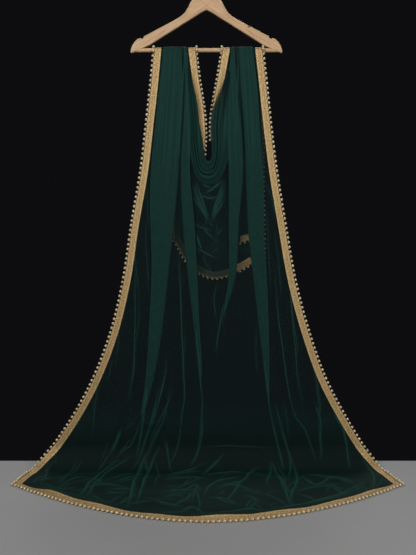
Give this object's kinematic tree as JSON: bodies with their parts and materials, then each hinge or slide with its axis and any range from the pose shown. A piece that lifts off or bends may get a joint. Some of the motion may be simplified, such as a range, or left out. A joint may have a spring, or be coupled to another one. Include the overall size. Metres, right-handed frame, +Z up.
{
  "type": "beaded net dupatta stole on a wooden hanger",
  "caption": "Sheer dark green net stole with a gold woven border and a pearl bead edge, hung over the bar of a wooden hanger with its long end spread on the floor.",
  "frame": {"origin": "inner top of the hanger's hook, where a rail carries it", "axes": "+Z up, +Y away from the long end on the floor, +X to the right seen from the front"},
  "size_m": [1.1177, 0.4757, 1.5169],
  "materials": {
    "net": "sheer net",
    "border": "brushed gold weave",
    "beads": "champagne pearl",
    "wood": "pale matt",
    "steel": "polished"
  },
  "bodies": {
    "root": {"front_fall": "net", "floor_train": "net", "strand_left": "net", "strand_right": "net", "over_bar_left": "net", "over_bar_right": "net", "cowl": "net", "back_strand_left": "net", "back_strand_right": "net", "back_flap": "net", "border_left": "border", "border_right": "border", "border_neck_left": "border", "border_neck_right": "border", "border_front_hem": "border", "border_back_hem": "border", "beads_left": "beads", "beads_right": "beads", "beads_neck_left": "beads", "beads_neck_right": "beads", "beads_front_hem": "beads", "beads_back_hem": "beads", "hanger_yoke": "wood", "hanger_bar": "wood", "hanger_hook": "steel"}
  },
  "joints": []
}
